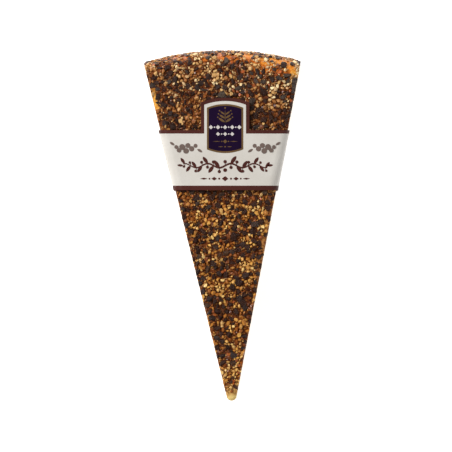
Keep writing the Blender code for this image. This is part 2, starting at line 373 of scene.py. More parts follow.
before_sleeve = band(tree, along, SLEEVE_NEAR + PAST_SLEEVE, SLEEVE_NEAR)
lower_edge = maths(tree, "MULTIPLY", band(tree, right_reach, *TOFFEE_STRIP), before_sleeve)
lower_edge = maths(tree, "MULTIPLY", lower_edge, band(tree, along, *TOFFEE_START))
toffee = ramp(tree, mask, [(0.0, (0.26, 0.080, 0.016)), (1.0, (0.60, 0.27, 0.075))])
colour = blend(tree, lower_edge, colour, toffee)
from_tip = maths(tree, "ADD", beyond(tree, place, (0, tip_y, 0), (0, 1, 0)), shift)
tan = ramp(tree, mask, [(0.0, (0.52, 0.27, 0.075)), (1.0, (0.66, 0.38, 0.12))])
colour = blend(tree, band(tree, from_tip, *TAN_NOSE), colour, tan)
colour = blend(tree, band(tree, from_tip, *BARE_TIP), colour, (0.84, 0.60, 0.22, 1))
tree.links.new(colour, shader["Base Color"])

cheese.data.materials.append(glaze)
cheese.data.materials.append(paste)
for face in cheese.data.polygons:
    cut_side = max(face.normal.dot(left_cut), face.normal.dot(right_cut)) > SIDE_FACING
    at_nose = face.center.y < tip_y + TIP_RADIUS and face.normal.z < NOSE_FACING
    if cut_side or at_nose or face.normal.z < BELOW_FACING:
        face.material_index = 1
stands_for(cheese, "cheese_wedge")

# Pepper: black corns cracked between rollers and pressed into the warm glaze, so that each piece stands half
# out of it. They break into dark wrinkled husks, pale angular kernels, glazed brown bits and crumbs.

HUSK_SIZE = (0.0012, 0.0034)
KERNEL_SIZE = (0.0008, 0.0021)
GLAZED_SIZE = (0.0010, 0.0026)
CRUMB_SIZE = (0.0004, 0.0009)
PEPPER_RISE = 0.00115
RIM_SHARE = 0.40
OUTLINE_STEPS = 60

draw = random.Random(11)


def rim_profile(share):
    """(radius, height) on the wheel's outline, from the underside at share 0 to the top face at share 1."""
    turn = share * math.pi / 2
    rise = math.sin(turn) ** (2 / SHOULDER_POWER)
    reach = math.cos(turn) ** (2 / SHOULDER_POWER) if share < 1 else 0.0
    return RIM_RADIUS - SHOULDER_DEPTH * (1 - reach), CHEESE_BASE + CHEESE_HEIGHT * rise


rim_outline = [rim_profile(i / OUTLINE_STEPS) for i in range(OUTLINE_STEPS + 1)]
rim_lengths = [math.dist(low, high) for low, high in zip(rim_outline, rim_outline[1:])]


def coat_spot():
    """A random point of the coat with its outward normal, or None where it misses the wedge."""
    if draw.random() > RIM_SHARE:
        reach = draw.uniform(0, 1) ** 0.5 * APEX_TO_RIM
        point = apex + Vector((draw.uniform(-LEFT_SLOPE, RIGHT_SLOPE) * reach, reach, COAT_TOP))
        on_top = (point - wheel_axis).xy.length < RIM_RADIUS - SHOULDER_DEPTH
        return (point, Vector((0, 0, 1))) if on_top else None
    step = draw.choices(range(OUTLINE_STEPS), rim_lengths)[0]
    (radius, height), (next_radius, next_height) = rim_outline[step], rim_outline[step + 1]
    turn = CUT_LEAN + draw.uniform(-1, 1) * CUT_ANGLE
    out = Vector((-math.sin(turn), math.cos(turn), 0))
    normal = (out * (next_height - height) + Vector((0, 0, radius - next_radius))).normalized()
    low = wheel_axis + out * radius + Vector((0, 0, height))
    high = wheel_axis + out * next_radius + Vector((0, 0, next_height))
    return low.lerp(high, draw.random()), normal


def inside_cuts(point):
    """How far a point lies inside the left and the right cut side."""
    return -(point - apex).dot(left_cut), -(point - apex).dot(right_cut)


CUT_MARGIN = 0.0001
BASE_MARGIN = 0.7
TOP_NORMAL = 0.9
WALL_NORMAL = 0.2
SLEEVE_BEND_REACH = 0.0026
BARE_NOSE = 0.0024
NOSE_REACH = 0.024
SMALL_PIECE = 0.0016
RIM_START = 0.0898
RIM_FADE = 0.0025
WEDGE_WIDTH = 0.05
CORNER_REACH = 0.003
UPPER_WALL = 0.034
LEFT_EDGE = 0.0014
RIGHT_EDGE = 0.0018
RIGHT_EDGE_START = 0.045
PATCH_SCALE = 420
STRAY_SHARE = 0.01


def worn(point, normal, size):
    """How bare the coat is here, from 0 where it is whole to 1 where nothing has stayed on."""
    from_left, from_right = inside_cuts(point)
    along = point.y - apex.y
    near_rim = min(max(((point - wheel_axis).xy.length - RIM_START) / RIM_FADE, 0), 1)
    to_right = min(max((from_left - from_right) / WEDGE_WIDTH + 0.6, 0), 1)
    if near_rim > 0 and min(from_left, from_right) < CORNER_REACH:
        return 0.48
    if normal.z < WALL_NORMAL:
        return 0.72 if point.z > UPPER_WALL else 0.45
    if from_left < LEFT_EDGE and along > SLEEVE_FAR:
        return 0.62
    if from_right < RIGHT_EDGE and RIGHT_EDGE_START < along < SLEEVE_NEAR:
        return 0.55
    if size > SMALL_PIECE and along < NOSE_REACH:
        return 0.5
    return near_rim * (0.42 + 0.24 * to_right)


def room_for(point, normal, size):
    """Whether the coat carries a piece of that size here: not past a cut, the base, the nose or the sleeve's
    bend, and where the coat is worn only in patches or as a stray piece."""
    inside = min(inside_cuts(point))
    along = point.y - apex.y
    under_sleeve = SLEEVE_NEAR - size / 2 < along < SLEEVE_FAR + size / 2
    if inside < CUT_MARGIN or point.z < CHEESE_BASE + size * BASE_MARGIN:
        return False
    if under_sleeve and normal.z > TOP_NORMAL and inside < SLEEVE_BEND_REACH:
        return False
    if point.y < tip_y + BARE_NOSE + size / 2:
        return False
    patch = 0.5 + 0.9 * noise.noise(point * PATCH_SCALE)
    return patch > worn(point, normal, size) or draw.random() < STRAY_SHARE


TRIES = 14
SIZE_FALL = 0.6
CLUMP_SCALE = 290
CLUMP_EDGE = (-0.4, 0.1)
GRID_CELL = 0.0015

placed = {}


def spread(size_range, count, overlap, clumping=0.0):
    """Spots for one kind of pepper, largest first, apart by their sizes less the overlap, in loose clumps."""
    spots = []
    for i in range(count * TRIES):
        size = size_range[1] - (size_range[1] - size_range[0]) * (i / (count * TRIES)) ** SIZE_FALL
        spot = coat_spot()
        if spot is None or not room_for(*spot, size):
            continue
        point, normal = spot
        if clumping * noise.noise(point * CLUMP_SCALE) < draw.uniform(*CLUMP_EDGE):
            continue
        cell = [int(value // GRID_CELL) for value in point]
        near = [
            other
            for x in range(cell[0] - 1, cell[0] + 2)
            for y in range(cell[1] - 1, cell[1] + 2)
            for z in range(cell[2] - 1, cell[2] + 2)
            for other in placed.get((x, y, z), ())
        ]
        if all((point - other).length > overlap * (size + width) / 2 for other, width in near):
            placed.setdefault(tuple(cell), []).append((point, size))
            past_flat = max(CUT_EDGE_RADIUS - min(inside_cuts(point)), 0)
            drop = CUT_EDGE_RADIUS - math.sqrt(CUT_EDGE_RADIUS ** 2 - past_flat ** 2)
            spots.append((point - normal * drop, normal, size))
        if len(spots) == count:
            break
    return spots


FARTHEST_CRACK = 0.38
SKIN_RADIUS = 0.41


def cracked_lump(name, fractures, nearest, dents, subdivisions):
    """One corn as a rough ball, with flat faces where it cracked, some as near its middle as nearest."""
    bpy.ops.object.select_all(action="DESELECT")
    bpy.ops.mesh.primitive_ico_sphere_add(subdivisions=subdivisions, radius=0.5)
    lump = start_piece(name)
    bpy.ops.mesh.select_all(action="SELECT")
    bpy.ops.transform.vertex_random(offset=dents, seed=draw.randrange(1000))
    for _ in range(fractures):
        plane = Vector([draw.gauss(0, 1) for _ in range(3)]).normalized()
        bpy.ops.mesh.select_all(action="SELECT")
        crack = plane * draw.uniform(nearest, FARTHEST_CRACK)
        bpy.ops.mesh.bisect(plane_co=crack, plane_no=plane, use_fill=True, clear_outer=True)
    bpy.ops.mesh.select_all(action="SELECT")
    bpy.ops.mesh.quads_convert_to_tris()
    bpy.ops.mesh.normals_make_consistent(inside=False)
    bpy.ops.object.mode_set(mode="OBJECT")
    for attribute in ("shade", "rise"):
        lump.data.attributes.new(attribute, "FLOAT", "POINT")
    skin = lump.data.attributes.new("skin", "FLOAT", "FACE")
    outside = [float(face.center.length > SKIN_RADIUS) for face in lump.data.polygons]
    skin.data.foreach_set("value", outside)
    return lump


TAB_MIDDLE = 0.103
TAB_REACH = 0.006
DARK_MIDDLE = 1.3 * NOSE_REACH
PALE_RIM = 0.14
PALE_RIGHT = 0.20
PALE_NOSE = 0.46
DARK_TAB = 0.38
DARK_STRETCH = 0.18


def tone_drift(point):
    """How much paler the pieces are here: more at the nose and near the rim at the right, less beside the tab
    and on the stretch above the nose."""
    along = point.y - apex.y
    at_tab = math.exp(-(((along - TAB_MIDDLE) / TAB_REACH) ** 2))
    near_rim = min(max((along - TAB_MIDDLE) / (2 * TAB_REACH), 0), 1)
    near_nose = min(max(1 - along / NOSE_REACH, 0), 1)
    above_nose = math.exp(-(((along - DARK_MIDDLE) / (NOSE_REACH / 2)) ** 2))
    to_right = (point.x - apex.x) / (WEDGE_WIDTH / 2)
    paler = near_rim * (PALE_RIM + PALE_RIGHT * to_right) + PALE_NOSE * near_nose
    return paler - DARK_TAB * at_tab - DARK_STRETCH * above_nose


WIDTHS = (0.55, 0.95)
LEAN = 0.35
HEAP_SCALE = 0.7
HEAP_PLACE = Vector((7, 3, 0))
HEAP_SHARE = 0.5
WALL_RISE = 0.6
CUT_ALLOWANCE = 0.00004
PALENESS = 0.55
BATCH_SCALE = 1.3
BATCH_SHARE = 0.6
TONE_SPREAD = 0.26


def press_in(name, lumps, spots, flatness, rises, finish):
    """Copies the lumps to their spots, pressed flat by that much, and joins them into one piece."""
    copies = []
    for point, normal, size in spots:
        lump = draw.choice(lumps)
        piece = lump.copy()
        piece.data = lump.data.copy()
        stretch = (size, size * draw.uniform(*WIDTHS), size * draw.uniform(*flatness), 1)
        lift = normal.to_track_quat("Z", "Y").to_matrix().to_4x4()
        spin = Matrix.Rotation(draw.uniform(0, 2 * math.pi), 4, "Z")
        lean = Matrix.Rotation(draw.uniform(-LEAN, LEAN), 4, "X")
        turn = draw.uniform(0, 2 * math.pi)
        tumble = Matrix.Rotation(turn, 4, Vector([draw.gauss(0, 1) for _ in range(3)]))
        piece.data.transform(lift @ spin @ lean @ Matrix.Diagonal(stretch) @ tumble)
        heights = [vert.co.dot(normal) for vert in piece.data.vertices]
        heap = noise.noise(point * CLUMP_SCALE * HEAP_SCALE + HEAP_PLACE)
        rise = PEPPER_RISE * min(draw.uniform(*rises) * (1 + HEAP_SHARE * heap), 1.0)
        if normal.z < WALL_NORMAL:
            rise *= WALL_RISE
        piece.data.transform(Matrix.Translation(point + normal * (rise - max(heights))))
        above = [(height - max(heights) + rise) / PEPPER_RISE for height in heights]
        piece.data.attributes["rise"].data.foreach_set("value", above)
        batch = BATCH_SHARE * noise.noise(point * CLUMP_SCALE * BATCH_SCALE)
        shade = PALENESS + tone_drift(point) + batch + draw.gauss(0, TONE_SPREAD)
        piece.data.attributes["shade"].data.foreach_set("value", [min(max(shade, 0), 1)] * len(above))
        bpy.context.collection.objects.link(piece)
        copies.append(piece)
    bpy.ops.object.select_all(action="DESELECT")
    for piece in copies:
        piece.select_set(True)
    bpy.context.view_layer.objects.active = copies[0]
    bpy.ops.object.join()
    joined = bpy.context.object
    joined.name = joined.data.name = name
    press_inside_cuts(joined, CUT_ALLOWANCE)
    for vert in joined.data.vertices:
        vert.co.z = max(vert.co.z, CHEESE_BASE)
    for lump in lumps:
        bpy.data.objects.remove(lump, do_unlink=True)
    joined.data.materials.append(finish)
    stands_for(joined, "cheese_wedge")


STEPS_OF_TONE = {
    "husk": (0.0, 0.5, 0.8, 1.0),
    "kernel": (0.0, 0.3, 0.7, 1.0),
    "glazed": (0.0, 0.5, 0.8, 1.0),
    "crumb": (0.0, 0.4, 0.75, 1.0),
}
GRAIN_TONE = 0.22
WARMER_FROM = 0.080
WARMER_FADE = 0.012
SKIN_SHARE = 0.5
DRY_TO_SOAKED = -0.15


def pepper_finish(
    kind, colours, nose_colours, skin_colour, soaked,
    glaze_and_shade_below, scale, depth, smooth, rough, **constants
):
    """A finish whose colour is drawn per piece, warmer towards the nose, with skin outside the cracks and
    glaze drawn up its foot, as far as glaze_and_shade_below. That darker foot is partly the glaze and partly
    painted shade on each piece's lower sides, most on the kernels."""
    stops = list(zip(STEPS_OF_TONE[kind], colours))
    nose_stops = list(zip(STEPS_OF_TONE[kind], nose_colours))
    made, tree, shader = new_finish("pepper_" + kind, **constants)
    mask, place = grained(tree, shader, scale, depth, smooth, rough)
    shade = add_node(tree, "Attribute", {}, attribute_name="shade").outputs["Fac"]
    rise = add_node(tree, "Attribute", {}, attribute_name="rise").outputs["Fac"]
    drift = maths(tree, "MULTIPLY", maths(tree, "SUBTRACT", mask, 0.5), GRAIN_TONE)
    drawn = add_node(tree, "Math", {0: shade, 1: drift}, operation="ADD", use_clamp=True).outputs[0]
    towards_nose = beyond(tree, place, (0, apex.y + WARMER_FROM, 0), (0, -1, 0))
    warmer = band(tree, towards_nose, -WARMER_FADE, WARMER_FADE)
    colour = blend(tree, warmer, ramp(tree, drawn, stops), ramp(tree, drawn, nose_stops))
    skin = add_node(tree, "Attribute", {}, attribute_name="skin").outputs["Fac"]
    colour = blend(tree, maths(tree, "MULTIPLY", skin, SKIN_SHARE), colour, skin_colour)
    # Darker towards each piece's foot: partly glaze, partly painted shade on the lower sides.
    colour = blend(tree, band(tree, rise, glaze_and_shade_below, DRY_TO_SOAKED), colour, soaked)
    tree.links.new(colour, shader["Base Color"])
    return made


husk_finish = pepper_finish(
    "husk",
    [(0.034, 0.012, 0.007), (0.050, 0.021, 0.013), (0.040, 0.030, 0.028), (0.10, 0.07, 0.05)],
    [(0.034, 0.011, 0.006), (0.048, 0.017, 0.009), (0.036, 0.026, 0.024), (0.09, 0.04, 0.018)],
    (0.030, 0.017, 0.013, 1),
    (0.105, 0.022, 0.005, 1),
    glaze_and_shade_below=0.30, scale=1600.0, depth=0.0007, smooth=0.20, rough=0.5,
    Specular_IOR_Level=0.17,
)
kernel_finish = pepper_finish(
    "kernel",
    [(0.26, 0.080, 0.018), (0.52, 0.24, 0.070), (0.80, 0.50, 0.19), (1.0, 0.80, 0.44)],
    [(0.27, 0.070, 0.010), (0.52, 0.20, 0.030), (0.78, 0.41, 0.088), (0.98, 0.68, 0.25)],
    (0.36, 0.12, 0.028, 1),
    (0.27, 0.068, 0.009, 1),
    # The kernels' darker foot reaches highest, a pale top fading to a brown foot, partly glaze and partly
    # painted shade.
    glaze_and_shade_below=0.62, scale=1400.0, depth=0.0002, smooth=0.18, rough=0.4,
    Specular_IOR_Level=0.25,
)
glazed_finish = pepper_finish(
    "glazed",
    [(0.080, 0.022, 0.009), (0.21, 0.062, 0.019), (0.36, 0.115, 0.028), (0.54, 0.115, 0.018)],
    [(0.080, 0.020, 0.007), (0.21, 0.055, 0.011), (0.38, 0.115, 0.018), (0.52, 0.105, 0.014)],
    (0.14, 0.038, 0.011, 1),
    (0.12, 0.028, 0.006, 1),
    glaze_and_shade_below=0.45, scale=1100.0, depth=0.0002, smooth=0.15, rough=0.32,
    Specular_IOR_Level=0.35,
)
crumb_finish = pepper_finish(
    "crumb",
    [(0.044, 0.016, 0.009), (0.15, 0.055, 0.019), (0.46, 0.23, 0.08), (0.82, 0.55, 0.26)],
    [(0.044, 0.014, 0.006), (0.15, 0.046, 0.010), (0.46, 0.20, 0.040), (0.78, 0.46, 0.14)],
    (0.20, 0.064, 0.017, 1),
    (0.15, 0.036, 0.006, 1),
    glaze_and_shade_below=0.30, scale=1800.0, depth=0.0001, smooth=0.25, rough=0.5,
    Specular_IOR_Level=0.25,
)

husk_spots = spread(HUSK_SIZE, count=640, overlap=0.70, clumping=1.8)
kernel_spots = spread(KERNEL_SIZE, count=3300, overlap=0.66, clumping=-1.4)
glazed_spots = spread(GLAZED_SIZE, count=1300, overlap=0.58)
crumb_spots = spread(CRUMB_SIZE, count=2800, overlap=0.56)
husk_lumps = [cracked_lump("husk", 5, nearest=0.16, dents=0.12, subdivisions=2) for _ in range(9)]
press_in(
    "pepper_husks", husk_lumps, husk_spots, flatness=(0.34, 0.60), rises=(0.35, 0.85),
    finish=husk_finish,
)
kernel_lumps = [
    cracked_lump("kernel", 4 + i % 3, nearest=0.10, dents=0.12, subdivisions=1 + i % 2) for i in range(14)
]
press_in(
    "pepper_kernels", kernel_lumps, kernel_spots, flatness=(0.6, 1.0), rises=(0.55, 1.0),
    finish=kernel_finish,
)
glazed_lumps = [cracked_lump("glazed", 3, nearest=0.2, dents=0.08, subdivisions=2) for _ in range(6)]
press_in(
    "pepper_glazed_bits", glazed_lumps, glazed_spots, flatness=(0.45, 0.8), rises=(0.35, 0.8),
    finish=glazed_finish,
)
crumb_lumps = [cracked_lump("crumb", 3, nearest=0.2, dents=0.05, subdivisions=1) for _ in range(5)]
press_in(
    "pepper_crumbs", crumb_lumps, crumb_spots, flatness=(0.6, 0.9), rises=(0.3, 0.65),
    finish=crumb_finish,
)

# Sleeve: a strip of coated cream board, folded round the wedge and closed below, with a die-cut arched tab on
# its far edge. A brown line is printed along every edge. The board bends wide over the two upper edges.

PAPER = 0.00035
SLEEVE_TOP = sleeve_high.z
SLEEVE_WIDTH = 0.04
TOP_BEND = 0.0034
TOP_BEND_STEPS = 14
BASE_BEND_STEPS = 6
TAB_WIDTH = 0.0164
TAB_CENTRE = apex.x - 0.0024
TAB_FAR = apex.y + 0.1088
TAB_ARCH = 0.0016
ARCH_STEPS = 24
LEVEL_REACH = 0.001
EDGE_LINE = 0.00115
NEAR_LINE = 0.00155
band_near = apex.y + SLEEVE_NEAR
band_far = apex.y + SLEEVE_FAR


def wall_x(y, side):
    """X of the sleeve's outer wall at row position y."""
    slope = LEFT_SLOPE if side < 0 else RIGHT_SLOPE
    return apex.x + side * ((y - apex.y) * slope + WALL_CLEARANCE * math.hypot(1, slope))


bpy.ops.object.select_all(action="DESELECT")
bpy.ops.mesh.primitive_cube_add(
    size=1,
    location=(TAB_CENTRE, (band_near + band_far) / 2, SLEEVE_TOP / 2),
    scale=(SLEEVE_WIDTH, band_far - band_near, SLEEVE_TOP),
)
sleeve = start_piece("paper_sleeve_printed")
pick(sleeve, "FACE", lambda face: abs(face.normal.y) > 0.5)
bpy.ops.mesh.delete(type="ONLY_FACE")
mesh = bmesh.from_edit_mesh(sleeve.data)
for vert in mesh.verts:
    vert.co.x = wall_x(vert.co.y, 1 if vert.co.x > TAB_CENTRE else -1)
bmesh.update_edit_mesh(sleeve.data)
pick(sleeve, "EDGE", lambda edge: not edge.is_boundary and edge.verts[0].co.z > SLEEVE_TOP / 2)
bpy.ops.mesh.bevel(offset=TOP_BEND, segments=TOP_BEND_STEPS, affect="EDGES")
pick(
    sleeve,
    "EDGE",
    lambda edge: not edge.is_boundary and max(vert.co.z for vert in edge.verts) < LEVEL_REACH,
)
bpy.ops.mesh.bevel(offset=CUT_EDGE_RADIUS + WALL_CLEARANCE, segments=BASE_BEND_STEPS, affect="EDGES")
for side in (-1, 1):
    pick(sleeve, "FACE", lambda face: face.normal.z > 0.99)
    bpy.ops.mesh.bisect(plane_co=(TAB_CENTRE + side * TAB_WIDTH / 2, 0, 0), plane_no=(1, 0, 0))
pick(
    sleeve,
    "EDGE",
    lambda edge: edge.is_boundary
    and all(
        vert.co.z > SLEEVE_TOP - LEVEL_REACH
        and vert.co.y > band_far - LEVEL_REACH
        and abs(vert.co.x - TAB_CENTRE) < TAB_WIDTH / 2 + MERGE_REACH
        for vert in edge.verts
    ),
)
bpy.ops.mesh.extrude_region_move(TRANSFORM_OT_translate={"value": (0, TAB_FAR - TAB_ARCH - band_far, 0)})
bpy.ops.mesh.subdivide(number_cuts=ARCH_STEPS - 1)
mesh = bmesh.from_edit_mesh(sleeve.data)
for vert in mesh.verts:
    if vert.select:
        across = (vert.co.x - TAB_CENTRE) / (TAB_WIDTH / 2)
        vert.co.y += TAB_ARCH * (1 - across * across)
bmesh.update_edit_mesh(sleeve.data)
bpy.ops.mesh.select_all(action="SELECT")
bpy.ops.mesh.normals_make_consistent(inside=False)
bpy.ops.mesh.inset(thickness=EDGE_LINE, use_boundary=True, use_even_offset=True)
mesh = bmesh.from_edit_mesh(sleeve.data)
for face in mesh.faces:
    face.material_index = 0 if face.select else 1
for vert in mesh.verts:
    if abs(vert.co.y - band_near - EDGE_LINE) < PAPER / 2:
        vert.co.y = band_near + NEAR_LINE
bmesh.update_edit_mesh(sleeve.data)
bpy.ops.object.mode_set(mode="OBJECT")
board = sleeve.modifiers.new("board", "SOLIDIFY")
board.thickness = PAPER
board.offset = -1
board.material_offset = 2
apply_all(sleeve)
bpy.ops.object.shade_smooth_by_angle(angle=math.radians(30))


def board_finish(name, colour, tint, **constants):
    """Coated board, or one printed ink on it, with faint fibre relief and an uneven tone."""
    made, tree, shader = new_finish(name, **constants)
    mask, place = grained(tree, shader, 2200.0, 0.00003, 0.42, 0.52)
    cloud = add_node(tree, "TexNoise", {"Vector": place, "Scale": 120.0, "Detail": 4.0}).outputs["Fac"]
    tone = band(tree, maths(tree, "ADD", cloud, maths(tree, "MULTIPLY", mask, 0.1)), 0.3, 0.8)
    tree.links.new(blend(tree, tone, (*colour, 1), (*tint, 1)), shader["Base Color"])
    return made


cream = board_finish("sleeve_cream", (0.63, 0.59, 0.53), (0.68, 0.645, 0.59), Coat_Weight=0.1)
brown_ink = board_finish(
    "sleeve_brown_ink", (0.060, 0.012, 0.008), (0.078, 0.017, 0.011), Specular_IOR_Level=0.2
)
bare_board = board_finish("sleeve_bare_board", (0.62, 0.58, 0.52), (0.66, 0.62, 0.56))
for finish in (cream, brown_ink, bare_board, bare_board):
    sleeve.data.materials.append(finish)
stands_for(sleeve, "paper_sleeve")

# Plum panel: the largest field of print, on the tab and the band, with an arched head that follows the tab,
# an arched foot and a bronze line all round. Ink is a film, so each printed shape is a very thin plate.

INK = 0.00002
PANEL_WIDTH = 0.0123
PANEL_FOOT = 0.0138
PANEL_HEAD = 0.0279
PANEL_ARCH = 0.00125
PANEL_LINE = 0.0006
panel_middle = band_near + (PANEL_FOOT + PANEL_HEAD) / 2


def ink_film(obj, level, finishes):
    """Turns flat shapes into a thin film on top of the sleeve, so many films up."""
    film = obj.modifiers.new("film", "SOLIDIFY")
    film.thickness = INK
    film.offset = 1
    apply_all(obj)
    bpy.ops.object.mode_set(mode="EDIT")
    bpy.ops.mesh.select_all(action="SELECT")
    bpy.ops.transform.translate(value=(0, 0, SLEEVE_TOP + (2 * level + 0.5) * INK))
    bpy.ops.object.mode_set(mode="OBJECT")
    for finish in finishes:
        obj.data.materials.append(finish)
    stands_for(obj, "paper_sleeve")


bpy.ops.object.select_all(action="DESELECT")
bpy.ops.mesh.primitive_plane_add(
    size=1,
    location=(TAB_CENTRE, panel_middle, 0),
    scale=(PANEL_WIDTH, PANEL_HEAD - PANEL_FOOT, 1),
)
panel = start_piece("label_panel")
mesh = bmesh.from_edit_mesh(panel.data)
for vert in mesh.verts:
    vert.co.x = TAB_CENTRE + math.copysign(PANEL_WIDTH / 2, vert.co.x - TAB_CENTRE)
    vert.co.y = band_near + (PANEL_HEAD if vert.co.y > panel_middle else PANEL_FOOT)
bmesh.update_edit_mesh(panel.data)
pick(panel, "EDGE", lambda edge: abs(edge.verts[0].co.y - edge.verts[1].co.y) < INK)
bpy.ops.mesh.subdivide(number_cuts=ARCH_STEPS - 1)
mesh = bmesh.from_edit_mesh(panel.data)
for vert in mesh.verts:
    across = (vert.co.x - TAB_CENTRE) / (PANEL_WIDTH / 2)
    side = 1 if vert.co.y > panel_middle else -1
    vert.co.y += side * PANEL_ARCH * (1 - across * across)
bmesh.update_edit_mesh(panel.data)
bpy.ops.mesh.select_all(action="SELECT")
bpy.ops.mesh.inset(thickness=PANEL_LINE, use_boundary=True)
for face in bmesh.from_edit_mesh(panel.data).faces:
    face.material_index = 0 if face.select else 1
bmesh.update_edit_mesh(panel.data)
bpy.ops.object.mode_set(mode="OBJECT")
plum_ink = board_finish("plum_ink", (0.009, 0.0024, 0.018), (0.012, 0.0034, 0.023), Specular_IOR_Level=0.05)
bronze_ink = board_finish("bronze_ink", (0.11, 0.060, 0.018), (0.15, 0.080, 0.026), Specular_IOR_Level=0.25)
ink_film(panel, 0, (plum_ink, bronze_ink))

# Ornament: a trailing pepper vine across the band, a small row of lozenges under it, bunches of pepper corns
# at both sides, and a sprig and two rows of lozenges on the panel. It is printed in brown, taupe, bronze and
# cream ink. Leaves, corns, lozenges and stalks are each drawn once and stamped.

MM = 0.001
LEAF_CORNERS = 20
LEAF_HALF_WIDTH = 0.22
CORN_CORNERS = 16
RING = 0.085


def flat_shape(name, corners, outline):
    """A flat filled shape of so many corners, whose points outline() gives in millimetres for a turn."""
    bpy.ops.object.select_all(action="DESELECT")
    bpy.ops.mesh.primitive_circle_add(vertices=corners, radius=1, fill_type="NGON")
    shape = start_piece(name)
    for vert in bmesh.from_edit_mesh(shape.data).verts:
        x, y = outline(math.atan2(vert.co.y, vert.co.x))
        vert.co = (x * MM, y * MM, 0)
    bmesh.update_edit_mesh(shape.data)
    bpy.ops.object.mode_set(mode="OBJECT")
    return shape


def stamp(shape, u, v, turn=0.0, size=1.0, width=1.0, lift=0.0):
    """A copy of a shape, u mm right of the tab's middle and v mm up from the band's near edge."""
    made = shape.copy()
    made.data = shape.data.copy()
    place = Matrix.Translation((TAB_CENTRE + u * MM, band_near + v * MM, lift))
    made.data.transform(place @ Matrix.Rotation(turn, 4, "Z") @ Matrix.Diagonal((size, size * width, 1, 1)))
    bpy.context.collection.objects.link(made)
    return made


def print_together(name, stamps, level, finishes):
    """Joins stamped shapes into one printed piece, so many films up."""
    bpy.ops.object.select_all(action="DESELECT")
    for made in stamps:
        made.select_set(True)
    bpy.context.view_layer.objects.active = stamps[0]
    bpy.ops.object.join()
    joined = bpy.context.object
    joined.name = joined.data.name = name
    ink_film(joined, level, finishes)


def round_outline(turn):
    """A circle 1 mm across."""
    return 0.5 * math.cos(turn), 0.5 * math.sin(turn)


def leaf_outline(turn):
    """A pointed leaf 1 mm long, from its foot at 0 to its tip at 1."""
    return 0.5 + 0.5 * math.cos(turn), LEAF_HALF_WIDTH * math.sin(turn) * abs(math.sin(turn)) ** 0.5


leaf = flat_shape("leaf", LEAF_CORNERS, leaf_outline)
corn = flat_shape("corn", CORN_CORNERS, round_outline)
lozenge = flat_shape("lozenge", 4, round_outline)
ringed_corn = flat_shape("ringed_corn", CORN_CORNERS, round_outline)
bpy.ops.object.mode_set(mode="EDIT")
bpy.ops.mesh.select_all(action="SELECT")
bpy.ops.mesh.inset(thickness=RING * MM)
for face in bmesh.from_edit_mesh(ringed_corn.data).faces:
    face.material_index = 1 if face.select else 0
bpy.ops.object.mode_set(mode="OBJECT")

VINE_HALF = 14.2
VINE_WAVE = 7.8
VINE_SWING = 0.7
VINE_HEIGHT = 8.3
STALK_STEPS = 96
LEAF_STEP = 1.95
LEAF_LEAN = 0.95
LEAF_LENGTH = 3.2
CORN_DROP = 1.35
CORN_SIZE = 1.15
OVER_STALK = 1.5 * INK
OVER_LEAF = 3 * INK
ROW_HEIGHT = 3.9

bpy.ops.object.select_all(action="DESELECT")
bpy.ops.mesh.primitive_grid_add(x_subdivisions=STALK_STEPS, y_subdivisions=1, size=1)
stalk = start_piece("stalk")
for vert in bmesh.from_edit_mesh(stalk.data).verts:
    along = 2 * vert.co.x * VINE_HALF
    swing = VINE_SWING * math.sin(2 * math.pi * along / VINE_WAVE)
    taper = 0.20 + 0.16 * (1 - abs(2 * vert.co.x))
    vert.co = (along * MM, (swing + 2 * vert.co.y * taper) * MM, 0)
bmesh.update_edit_mesh(stalk.data)
bpy.ops.object.mode_set(mode="OBJECT")

vine = [stamp(stalk, 0, VINE_HEIGHT)]
for i in range(-7, 8):
    u = i * LEAF_STEP
    v = VINE_HEIGHT + VINE_SWING * math.sin(2 * math.pi * u / VINE_WAVE)
    shrink = 1 - 0.3 * abs(i) / 8
    up = 1 if i % 2 else -1
    if i:
        lean = up * (LEAF_LEAN if u > 0 else math.pi - LEAF_LEAN)
        vine.append(stamp(leaf, u, v, lean, LEAF_LENGTH * shrink, 0.95, OVER_STALK))
    low = v - up * CORN_DROP * shrink
    vine.append(stamp(corn, u * 1.02, low, 0, CORN_SIZE * shrink, 1.0, OVER_LEAF))
    vine.append(stamp(lozenge, u, v - up * 0.6, math.pi / 2, 1.2, 0.22, OVER_STALK))
for side in (-1, 1):
    lean = 0.1 if side > 0 else math.pi - 0.1
    vine.append(stamp(leaf, side * VINE_HALF, VINE_HEIGHT, lean, 2.0, 0.9, OVER_STALK))
vine.append(stamp(corn, 0, VINE_HEIGHT - 1.5, 0, 1.3, 1.0, OVER_LEAF))
row = [stamp(lozenge, 0, ROW_HEIGHT, 0, 2.2, 0.8)]
for side in (-1, 1):
    row.append(stamp(corn, side * 2.0, ROW_HEIGHT, 0, 0.7))
    row.append(stamp(lozenge, side * 3.7, ROW_HEIGHT, 0, 1.9, 0.65))
    row.append(stamp(corn, side * 5.3, ROW_HEIGHT, 0, 0.6))
    row.append(stamp(lozenge, side * 7.2, ROW_HEIGHT, 0, 2.6, 0.25))
print_together("label_vine", vine + row, 0, (brown_ink,))

BUNCH_SIDE = 12.9
BUNCH_HEIGHT = 14.2
BUNCH_CORNS = (
    (-2.9, 0.8, 1.4), (-1.6, -0.2, 1.8), (-0.3, 0.9, 1.7), (0.3, -0.9, 1.9), (1.6, 0.4, 2.0),
    (2.7, -0.7, 1.5), (3.6, 0.4, 1.3),
)
BUNCH_LEAVES = ((-3.5, -0.3, 3.7, 2.0), (4.2, 1.0, 0.6, 1.9))

